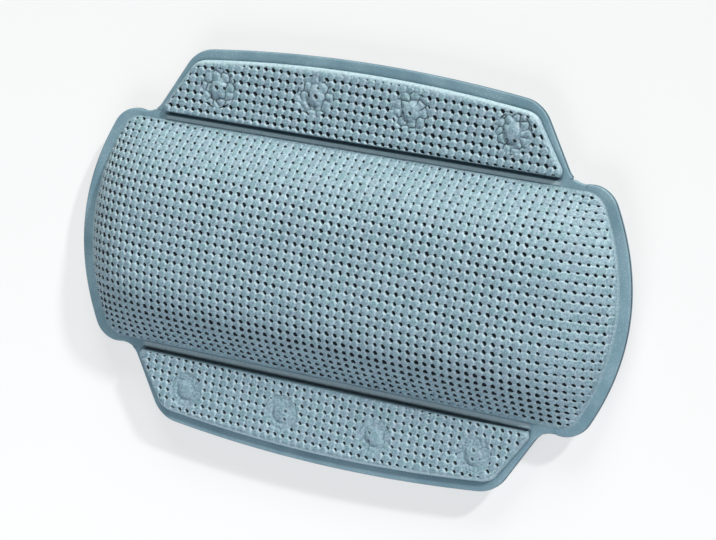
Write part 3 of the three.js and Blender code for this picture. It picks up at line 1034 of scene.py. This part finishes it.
flapReliefs = {
    "upper": {"Cell bulge": 0.55 * mm, "Hole reach": 0.3, "Seed": 3, "Spot radius": 11 * mm, "Blob rise": 0.8 * mm,
              "Crack dark": 0.64},
    "lower": {"Hole depth": 1 * mm, "Hole reach": 0.26, "Hole dark": 0.85, "Lip depth": 0.26 * mm, "Seed": 5,
              "Spot depth": 0.3 * mm, "Mound rise": 0.8 * mm, "Blob rise": 0.15 * mm, "Spot side": 1,
              "Crack dark": 0.4},
}
cupNumbers = range(1, 5)


def cupCentre(side, number):
    low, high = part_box(f"{side}_suction_cup_{number}")
    return (low.x + high.x) / 2, (low.y + high.y) / 2


spots = np.array(sorted(cupCentre("upper", i) for i in cupNumbers))
# how far each weld spot lies off its cup's axis
spotShifts = {
    "upper": np.array([(2.1, -2.5), (3.4, 1.6), (1.6, 1.4), (2.5, -1.3)]) * mm,
    "lower": np.array([(-2.2, -2.0), (-1.8, -0.3), (-3.4, -1.6), (-0.9, -2.4)]) * mm,
}


# where the woven top of the field ends
def fieldRing():
    lean = outlineSizes["flapTaper"] / outlineSizes["flapDepth"]
    neckX = halfLength - outlineSizes["endBow"] - outlineSizes["earLength"]
    inner = foldOuter + flap["setback"] + flap["foldInset"]
    outer = foldLine + outlineSizes["flapDepth"] - flap["border"] - flap["outerInset"]

    def sideAt(y):
        drawnIn = (flap["sideBorder"] + flap["sideInset"]) * math.hypot(1, lean)
        straight = neckX - (y - foldLine) * lean - drawnIn
        return straight + flap["innerReach"] * (outer - y) / (outer - inner)

    bow = outlineSizes["flapBow"] * (sideAt(outer) / (neckX - outlineSizes["flapTaper"])) ** 2
    outerRadius = outlineSizes["flapRadius"] - flap["border"] - flap["outerInset"]
    return roundedOutline([
        ((sideAt(inner), inner), flap["innerRadius"], 0),
        ((sideAt(outer), outer), outerRadius, bow),
        ((-sideAt(outer), outer), outerRadius, 0),
        ((-sideAt(inner), inner), flap["innerRadius"], 0),
    ])


def closeUnderside(piece):
    build = bmesh.new()
    build.from_mesh(piece.data)
    rimEdges = [edge for edge in build.edges if edge.is_boundary]
    bmesh.ops.triangle_fill(build, use_beauty=True, edges=rimEdges)
    bmesh.ops.recalc_face_normals(build, faces=build.faces)
    build.to_mesh(piece.data)
    build.free()


def makeFlapFront(side):
    weave = {**flapWeaves[side], "steps": flapSteps}
    ring = fieldRing()
    along, across, cells, quads = weaveGrid(weave, ring[:, 0].max(), ring[:, 1].min(), ring[:, 1].max())
    plan = np.stack([along, across], axis=1)
    used, plan, quads, distance = trimToRing(plan, quads, ring, flap["margin"])
    loop = boundaryLoop(quads)
    places = [atLevel(plan, fieldTop)]
    edge = plan[loop]
    outward = loopNormals(edge)
    towardsFold = smoothStep(-outward[:, 1], *flap["foldFacing"])
    towardsEdge = smoothStep(outward[:, 1], *flap["edgeFacing"])
    inset = flap["sideInset"] + (flap["foldInset"] - flap["sideInset"]) * towardsFold
    inset = inset + (flap["outerInset"] - flap["sideInset"]) * towardsEdge
    wallOut = inset + flap["wallFoot"] + (flap["foldFoot"] - flap["wallFoot"]) * towardsFold
    foot = edge + outward * wallOut[:, None]

    def borderLevel(at):
        past = smoothStep(at[:, 1] - foldOuter, *flap["grooveSpan"])
        inGroove = (1 - pastGroove(at)) * (1 - past)
        return borderTop - rimDrop(at) + (border["grooveLevel"] - borderTop) * inGroove

    # rounded wall of the field, from its top to its foot
    footLevel = borderLevel(foot) - flap["footSink"]
    wallFrom = inset * flap["wallStart"]
    for turned in np.radians(flap["wallTurns"]):
        out = wallFrom + (wallOut - wallFrom) * math.sin(turned)
        level = footLevel + (fieldTop - footLevel) * math.cos(turned) ** flap["wallOrder"]
        places.append(atLevel(edge + outward * out[:, None], level))
    reach = reachTo(foot, outward, flapOutline, flap["leastReach"])

    # smooth border with a rounded outer edge
    for share in flap["borderShares"]:
        at = foot + outward * (reach * share)[:, None]
        places.append(atLevel(at, borderLevel(at)))
    rim = foot + outward * reach[:, None]
    places.append(atLevel(rim, sheetLevel))
    faces, _ = bandFaces(loop, len(places) - 1, len(plan))
    faces = quads.tolist() + faces
    walls, bands = len(flap["wallTurns"]), len(flap["borderShares"])
    # painted highlight on the field's wall, stronger toward the flap's outer edge
    wallPale = flap["wallPale"][0] + flap["wallPale"][1] * towardsEdge
    # painted shade on the fold-side wall and in the groove beside the fold, in the crease at the wall's foot and
    # on the outer edge
    inGroove = web["grooveDark"] * towardsFold
    crease = np.maximum(inGroove, border["creaseShade"])
    shades = [inGroove * share for share in flap["wallDark"]] + [crease] * 2 + [inGroove] * (bands - 1)
    shades += [np.maximum(inGroove, shade) for shade in outerShades(rim)]
    smooth = [0] * (walls - 1) + [1] * (bands + 2)
    paint = edgePaint(len(plan), len(loop), pale=[wallPale] * (walls - 1), plain=smooth, dark=shades)

    # pockets for the heads of the cups
    circle = unitCircle(flap["pocketPoints"]) * flap["pocketRadius"]
    for centre in spots:
        first = sum(len(p) for p in places)
        for level in (sheetLevel, flap["pocketTop"]):
            places.append(atLevel(centre + circle, level))
        pocket, top = bandFaces(range(first, first + len(circle)), 1, first + len(circle))
        faces += pocket + [tuple(top)]
    places = np.vstack(places)
    weaveAt = weaveField(cells[used], distance, flap["fade"], len(places))
    gaps = places[:, None, :2] - (spots + spotShifts[side])[None]
    nearest = np.argmin(np.hypot(gaps[..., 0], gaps[..., 1]), axis=1)
    spotAt = np.column_stack([gaps[np.arange(len(places)), nearest], np.ones(len(places))])
    attributes = {"weave": weaveAt, "spot": spotAt, **fitted(paint, len(places))}
    piece = meshObject(f"{side}_flap_woven", turnedFor(side, places), faces, vinylFinish, attributes)
    closeUnderside(piece)
    emboss(piece, flapReliefs[side])
    print(side, "flap front:", len(piece.data.vertices), "points")
    return piece


for side in sides:
    flapFront = makeFlapFront(side)
    seat(flapFront, f"{side}_flap", f"{side}_flap_front")


def makeWeb(side):
    neck = outline[(outline[:, 0] > web["neckFrom"]) & (outline[:, 0] < webEnd)]
    neck = neck[(neck[:, 1] > foldInner) & (neck[:, 1] < foldOuter + web["neckPast"])]
    neck = neck[np.argsort(neck[:, 1])]
    ramp = np.array(web["ramp"]).T
    shares = np.union1d(ramp[0], np.linspace(0, 1, web["rows"]))
    levels = np.interp(shares, *ramp) * mm
    plan, upper, dark, pale = [], [], [], []
    for share, level in zip(shares, levels):
        y = foldInner + (foldOuter - foldInner) * share
        end = webEnd if y < neck[0, 1] else np.interp(y, neck[:, 1], neck[:, 0])
        x = np.linspace(-end, end, web["columns"] + 1)
        plan.append(np.column_stack([x, np.full(len(x), y)]))
        inside = 1 - pastGroove(plan[-1])
        upper.append(borderTop + (level - borderTop) * inside - rimDrop(plan[-1]))
        # painted shade in the groove, painted light on the strip
        sunk = smoothStep(share, *web["grooveFrom"][side])
        dark.append(web["grooveDark"] * sunk * inside)
        pale.append(web["stripPale"][side] * (1 - sunk) * inside)
    plan, upper = np.vstack(plan), np.concatenate(upper)
    quads = gridQuads((len(shares), web["columns"] + 1))[:, [0, 3, 2, 1]]
    places, faces = closedSheet(plan, quads, upper, web["bottom"])
    paint = fitted({"hole": np.concatenate(dark), "rim": np.concatenate(pale)}, len(places))
    paint["plain"] = np.ones(len(places))
    print(side, "fold web:", len(places), "points")
    return meshObject(f"{side}_fold_strip", turnedFor(side, places), faces, vinylFinish, paint, web["sharp"])


for side, turned in sides.items():
    foldWeb = makeWeb(side)
    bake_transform(foldWeb)
    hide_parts(f"{side}_fold_web")

# Back film of the cushion, with its belly, and the foam core
belly = {
    "depth": 10 * mm,
    "flatShare": 0.55,
    "outerInset": 5 * mm,
    "liningInset": 6 * mm,
    "coreInset": 6.3 * mm,
    "coreClear": 0.3 * mm,
    "grid": 2 * mm,
    "puckerDepth": 0.25 * mm,
    "puckers": 46,
    "puckerAt": 0.93,
    "puckerWidth": 0.05,
    "weldDepth": 0.3 * mm,
    "weldWidth": 1.1 * mm,
    "weldAt": 2.6 * mm,
    "weldShare": 1.005,
    "margin": 0.3 * mm,
    "coreGrid": 3 * mm,
    "coreMargin": 0.5 * mm,
    "coreLift": 0.1 * mm,
}
filmThickness = 1 * mm


# a bell of unit height
def bell(value, centre, width):
    return np.exp(-(((value - centre) / width) ** 2))


# share of the way from the middle to a ring that each point is at
def shareOfRing(plan, ring):
    far = np.maximum(np.hypot(*plan.T), 1e-6)
    return far / reachTo(np.zeros_like(plan), plan / far[:, None], ring)


def bellyDrop(plan, inset):
    share = shareOfRing(plan, cushionPlan(inset))
    step = np.clip((share - belly["flatShare"]) / (1 - belly["flatShare"]), 0, 1)
    return 1 - step**2, share


def makeBackCover():
    plan, quads = plainGrid(cushionOutline.min(axis=0), cushionOutline.max(axis=0), belly["grid"])
    _, plan, quads, distance = trimToRing(plan, quads, cushionOutline, belly["margin"])
    outerDrop, share = bellyDrop(plan, belly["outerInset"])
    liningDrop, _ = bellyDrop(plan, belly["liningInset"])
    around = np.arctan2(plan[:, 1] * 2, plan[:, 0])
    pucker = np.sin(around * belly["puckers"]) * bell(share, belly["puckerAt"], belly["puckerWidth"])
    pucker = np.abs(pucker * belly["puckerDepth"]) * (outerDrop > 0)
    weldLine = bell(distance, belly["weldAt"], belly["weldWidth"]) * belly["weldDepth"]
    weldLine = weldLine * (share > belly["weldShare"])
    lower = sheetLevel - filmThickness - outerDrop * belly["depth"] + pucker + weldLine
    upper = sheetLevel - liningDrop * belly["depth"]
    places, faces = closedSheet(plan, quads, upper, lower)
    return meshObject("back_cover_film", places, faces, filmFinish)


def makeCore():
    inset, lift = belly["coreInset"], belly["coreLift"]
    ring = cushionPlan(inset)
    plan, quads = plainGrid(ring.min(axis=0), ring.max(axis=0), belly["coreGrid"])
    _, plan, quads, _ = trimToRing(plan, quads, ring, belly["coreMargin"])
    drop, _ = bellyDrop(plan, inset)
    height = coverHigh.z - foamSheet - sheetLevel - belly["coreClear"]
    upper = sheetLevel + lift + height * crownShare(*plan.T, crownLength - inset, crownWidth - inset)
    lower = sheetLevel - lift - drop * (belly["depth"] - belly["coreClear"])
    places, faces = closedSheet(plan, quads, upper, lower)
    return meshObject("foam_core", places, faces, foamFinish)


backCover = makeBackCover()
seat(backCover, "pillow", "back_cover")
core = makeCore()
seat(core, "pillow", "pillow_core")
print("back film and core made")

# Back film of each flap, with a hole for each cup's stem
flapFilm = {
    "grid": 1.5 * mm,
    "stemHole": 4 * mm,
    "margin": 0.25 * mm,
    "weldRing": 10.6 * mm,
    "weldWidth": 0.9 * mm,
    "weldDepth": 0.3 * mm,
}


def makeFlapBack(side):
    plan, quads = plainGrid(flapOutline.min(axis=0), flapOutline.max(axis=0), flapFilm["grid"])
    _, plan, quads, _ = trimToRing(plan, quads, flapOutline, flapFilm["margin"], spots, flapFilm["stemHole"])
    away = np.min([np.hypot(*(plan - centre).T) for centre in spots], axis=0)
    fromEdge, _ = outlineDistance(plan, flapOutline)
    width = flapFilm["weldWidth"]
    weld = bell(away, flapFilm["weldRing"], width) + bell(fromEdge, flap["border"], width)
    places, faces = closedSheet(plan, quads, sheetLevel, filmLevel + weld * flapFilm["weldDepth"])
    return meshObject(f"{side}_flap_film", turnedFor(side, places), faces, filmFinish)


for side in sides:
    seat(makeFlapBack(side), f"{side}_flap", f"{side}_flap_back")
print("flap films made")

# Suction cups, turned about their own axes
cup = {
    "radius": 14 * mm,
    "lipWidth": 1.4 * mm,
    "lipHeight": 0.8 * mm,
    "hollowDepth": 3.6 * mm,
    "shoulderTop": 7.7 * mm,
    "stemRadius": 3.5 * mm,
    "headRadius": 5 * mm,
    "headBottom": 11.3 * mm,
    "headTop": 12.8 * mm,
    "lipRound": 0.15 * mm,
    "hollowOrder": 2.2,
    "hollowSteps": 12,
    "skirtSteps": 15,
    "skirtPull": (-1.4 * mm, 3.05 * mm),
    "neckPull": (3.5 * mm, 0),
    "headEdge": ((0.3, 0), (0, 0.3)),
    "headCrown": ((0, 0.6), (0.25, 0.15), (0.6, 0)),
    "segments": 64,
    "sharp": 50,
}


def cupProfile(size):
    outer, lip = size["radius"], size["lipRound"]
    stem, head, bottom, top = size["stemRadius"], size["headRadius"], size["headBottom"], size["headTop"]
    hollow, depth, order = outer - size["lipWidth"], size["hollowDepth"], size["hollowOrder"]
    profile = [(hollow * t, depth * (1 - t**order)) for t in np.linspace(0, 1, size["hollowSteps"])]
    profile += [(outer - lip, 0), (outer, lip), (outer, size["lipHeight"])]
    start, end = np.array((outer, size["lipHeight"])), np.array((stem, size["shoulderTop"]))
    skirt = (start, start + size["skirtPull"], end + size["neckPull"], end)
    profile += [cubicPoint(*skirt, t) for t in np.linspace(0, 1, size["skirtSteps"])[1:]]
    profile += [(stem, (size["shoulderTop"] + bottom) / 2), (stem, bottom)]
    profile += [(head - inward * mm, bottom + rise * mm) for inward, rise in size["headEdge"]]
    profile += [(head - inward * mm, top - drop * mm) for inward, drop in size["headCrown"]]
    return np.array([(float(r), float(z)) for r, z in profile] + [(0, top)])


def makeCup(name, centre):
    profile = cupProfile(cup)
    count = cup["segments"]
    circle = unitCircle(count)
    places = [atLevel(np.array([centre]), profile[0, 1])]
    places += [atLevel(centre + r * circle, z) for r, z in profile[1:-1]]
    places.append(atLevel(np.array([centre]), profile[-1, 1]))
    last = 1 + count * (len(profile) - 2)
    faces = [(0, 1 + (i + 1) % count, 1 + i) for i in range(count)]
    bands, top = bandFaces(range(1, 1 + count), len(profile) - 3, 1 + count)
    faces += [tuple(reversed(face)) for face in bands]
    faces += [(last, top[i], top[(i + 1) % count]) for i in range(count)]
    return meshObject(name, np.vstack(places), faces, cupFinish, sharp=cup["sharp"])


for side in sides:
    for i in cupNumbers:
        piece = makeCup(f"{side}_cup_{i}_vinyl", cupCentre(side, i))
        seat(piece, f"{side}_cup_{i}", f"{side}_suction_cup_{i}")
print("cups made")

# Camera and light
view = {
    "azimuth": 111.23,
    "elevation": 62.98,
    "roll": -102.62,
    "distance": 1329.1 * mm,
    "target": (9.03 * mm, -0.29 * mm, 12 * mm),
    "focalPixels": 2472.5,
    "imageWidth": 716,
}


def makeCamera(sizes):
    azimuth, elevation, roll = (math.radians(sizes[key]) for key in ("azimuth", "elevation", "roll"))
    level = math.cos(elevation)
    back = Vector((math.sin(azimuth) * level, -math.cos(azimuth) * level, math.sin(elevation)))
    right = Vector((0, 0, 1)).cross(back).normalized()
    up = back.cross(right)
    turnedRight = right * math.cos(roll) + up * math.sin(roll)
    turnedUp = up * math.cos(roll) - right * math.sin(roll)
    data = bpy.data.cameras.new("camera")
    data.sensor_width = 36
    data.lens = sizes["focalPixels"] / sizes["imageWidth"] * data.sensor_width
    camera = bpy.data.objects.new("camera", data)
    bpy.context.scene.collection.objects.link(camera)
    turn = Matrix((turnedRight, turnedUp, back)).transposed().to_4x4()
    camera.matrix_world = Matrix.Translation(Vector(sizes["target"]) + back * sizes["distance"]) @ turn
    bpy.context.scene.camera = camera


makeCamera(view)

lighting = {
    "keySun": {"from": (0.6, 0.68, 0.41), "energy": 2.6, "angle": 4},
    "sideSun": {"from": (0.02, 0.85, 0.36), "energy": 1.9, "angle": 30, "tint": (0.98, 1.03, 0.96)},
    "softLamp": {"from": (0, -0.9, 0.75), "energy": 7.4, "size": 1, "tint": (0.88, 0.98, 1.08)},
    "worldStrength": 0.06,
    "floorSize": 8,
    "floorDrop": 0.3 * mm,
    "floorBounce": 0.75,
    "floorGlow": 0.6,
}


def makeLamp(name, settings):
    data = bpy.data.lights.new(name, "SUN" if "angle" in settings else "AREA")
    data.energy = settings["energy"]
    data.color = settings.get("tint", (1, 1, 1))
    if "angle" in settings:
        data.angle = math.radians(settings["angle"])
    else:
        data.size = settings["size"]
    lamp = bpy.data.objects.new(name, data)
    lamp.location = Vector(settings["from"])
    lamp.rotation_euler = lamp.location.to_track_quat("Z", "Y").to_euler()
    bpy.context.scene.collection.objects.link(lamp)


# 1 where the eye sees a thing straight, in a mirror or through a clear piece
def seenRays(start):
    rays = start.node("ShaderNodeLightPath", out=None)
    return (rays["Is Camera Ray"] + rays["Is Glossy Ray"] + rays["Is Transmission Ray"]).math("MINIMUM", 1)


def makeLight(settings):
    for name in ("keySun", "sideSun", "softLamp"):
        makeLamp(name, settings[name])
    world = bpy.data.worlds.new("world")
    world.use_nodes = True
    start = Wire(world.node_tree)
    seen = seenRays(start)
    strength = seen + settings["worldStrength"] * (1 - seen)
    start.feed(world.node_tree.nodes["Background"], {"Color": (1, 1, 1, 1), "Strength": strength})
    bpy.context.scene.world = world


def makeFloor(settings):
    material = bpy.data.materials.new("floor")
    material.use_nodes = True
    start = Wire(material.node_tree)
    seen = seenRays(start)
    bounce = settings["floorBounce"]
    colour = seen.mix((bounce, bounce, bounce, 1), (1, 1, 1, 1))
    white = start.node("ShaderNodeBsdfDiffuse", {}, {"Color": colour})
    glow = start.node("ShaderNodeEmission")
    white = start.node("ShaderNodeMixShader", {}, {0: seen * settings["floorGlow"], 1: white, 2: glow})
    clear = start.node("ShaderNodeBsdfTransparent")
    behind = start.node("ShaderNodeNewGeometry", out="Backfacing")
    both = start.node("ShaderNodeMixShader", {}, {0: behind, 1: white, 2: clear})
    start.feed(material.node_tree.nodes["Material Output"], {"Surface": both})
    half = settings["floorSize"] / 2
    drop = -settings["floorDrop"]
    corners = [(-half, -half, drop), (half, -half, drop), (half, half, drop), (-half, half, drop)]
    floor = meshObject("floor", corners, [(0, 1, 2, 3)], material)


makeLight(lighting)
makeFloor(lighting)
bpy.context.scene.view_settings.view_transform = "Standard"
print("camera, light and floor made")
